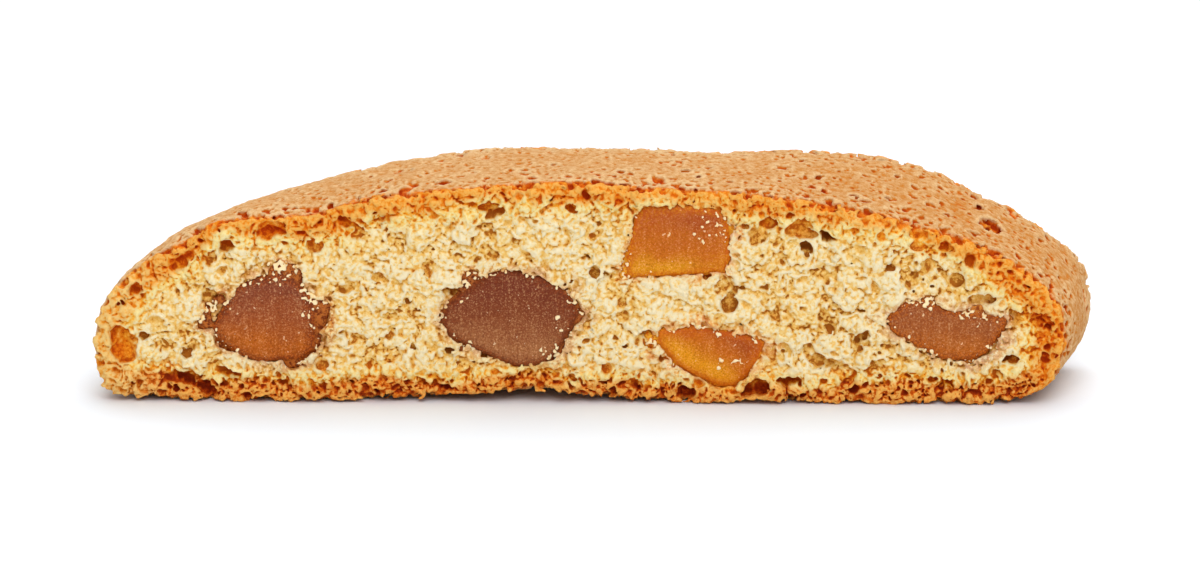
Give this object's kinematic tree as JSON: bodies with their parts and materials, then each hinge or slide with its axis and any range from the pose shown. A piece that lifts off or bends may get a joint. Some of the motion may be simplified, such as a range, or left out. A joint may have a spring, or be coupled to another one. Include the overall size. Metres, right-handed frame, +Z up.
{
  "type": "biscotti slice with candied fruit",
  "caption": "Slice of twice-baked biscuit with a domed crust, open crumb and candied fruit set in both cut faces, standing on its base.",
  "frame": {"origin": "middle of the bounding box in X and Y, on the surface that the base stands on", "axes": "+X along the slice, +Y through it from the front cut face to the back one, +Z up"},
  "size_m": [0.0936, 0.0166, 0.0218],
  "materials": {
    "biscuit": "dry open crumb, pale inside and golden brown at the crust",
    "fruit_brown": "soft, brown, slightly translucent",
    "fruit_amber": "soft, amber, slightly translucent"
  },
  "bodies": {
    "root": {"biscuit": "biscuit", "candied_fruit_1": "fruit_brown", "candied_fruit_2": "fruit_brown", "candied_fruit_3": "fruit_amber", "candied_fruit_4": "fruit_amber", "candied_fruit_5": "fruit_brown"}
  },
  "joints": []
}
